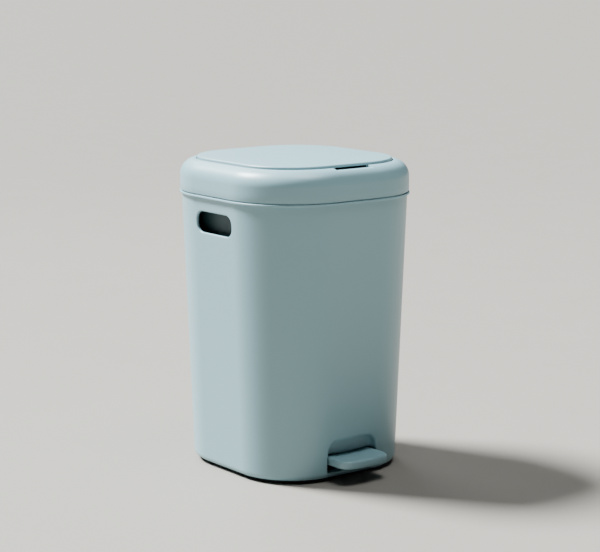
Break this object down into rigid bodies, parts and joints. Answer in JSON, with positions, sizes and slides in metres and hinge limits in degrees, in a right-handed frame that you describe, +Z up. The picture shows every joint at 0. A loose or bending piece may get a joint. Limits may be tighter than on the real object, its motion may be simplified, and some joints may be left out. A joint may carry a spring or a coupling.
{
  "type": "pedal trash can",
  "caption": "Tall rounded kitchen pedal bin with a tapered shell, lift-off lid frame, inset hinged lid, side hand holes, foot pedal and lift-out bucket.",
  "frame": {"origin": "on the floor, under the centre of the shell", "axes": "+Z up, the pedal points along -Y, the hinge is at +Y, the hand holes are at -X and +X"},
  "size_m": [0.3784, 0.4222, 0.581],
  "materials": {
    "shell_plastic": "fine satin grain, moulded pale grey-blue",
    "base_plastic": "matt black moulded",
    "rubber": "soft matt rubber",
    "screw_steel": "zinc plated",
    "zinc_steel": "zinc plated sheet",
    "bright_steel": "drawn bright wire and rod",
    "nylon": "natural nylon, slightly waxy",
    "liner_plastic": "matt moulded, a shade darker than the lid",
    "bucket_plastic": "satin dark teal-grey moulded"
  },
  "bodies": {
    "shell": {"outer_body": "shell_plastic", "base_plate": "base_plastic", "rubber_feet": "rubber", "base_screws": "screw_steel", "pedal_bracket": "zinc_steel", "bracket_screws": "screw_steel", "pedal_axle": "bright_steel", "axle_clips": "screw_steel", "rod_guides": "nylon", "guide_screws": "screw_steel"},
    "pedal": {"pedal_pad": "shell_plastic", "pedal_lever": "zinc_steel", "pedal_screws": "screw_steel", "lever_bushes": "nylon", "lever_tip": "nylon"},
    "rod": {"push_rod": "bright_steel", "rod_foot": "nylon", "rod_head": "nylon"},
    "frame": {"lid_frame": "shell_plastic", "hinge_blocks": "nylon", "block_screws": "screw_steel", "hinge_pins": "bright_steel", "pin_clips": "screw_steel", "lid_bumpers": "rubber"},
    "lid": {"lid_panel": "shell_plastic", "lid_liner": "liner_plastic", "liner_screws": "screw_steel", "lid_crank": "nylon", "crank_screws": "screw_steel", "crank_roller": "base_plastic", "roller_pin": "bright_steel"},
    "bucket": {"inner_bucket": "bucket_plastic"},
    "bail": {"bail_handle": "bright_steel", "bail_grip": "base_plastic"}
  },
  "joints": [
    {"name": "lid_hinge", "type": "hinge", "parent": "frame", "child": "lid", "pos_m": [0, 0.178, 0.566], "axis": [-1, 0, 0], "range_deg": [0, 85]},
    {"name": "pedal_pivot", "type": "hinge", "parent": "shell", "child": "pedal", "pos_m": [0, -0.072, 0.03], "axis": [1, 0, 0], "range_deg": [0, 8.05]},
    {"name": "rod_slide", "type": "slide", "parent": "shell", "child": "rod", "axis": [0, 0, 1], "range_m": [0, 0.03245]},
    {"name": "frame_lift", "type": "slide", "parent": "shell", "child": "frame", "axis": [0, 0, 1], "range_m": [0, 0.3]},
    {"name": "bucket_lift", "type": "slide", "parent": "shell", "child": "bucket", "axis": [0, 0, 1], "range_m": [0, 0.106]},
    {"name": "bail_swing", "type": "hinge", "parent": "bucket", "child": "bail", "pos_m": [0, 0, 0.508], "axis": [-1, 0, 0], "range_deg": [0, 90.5]}
  ],
  "couplings": [
    {"joint": "pedal_pivot", "follows": "lid_hinge", "ratio": 0.0944},
    {"joint": "rod_slide", "follows": "lid_hinge", "m_per_rad": 0.02185},
    {"joint": "bucket_lift", "follows": "frame_lift", "ratio": 0.35},
    {"joint": "bail_swing", "follows": "frame_lift", "rad_per_m": 5.236}
  ]
}
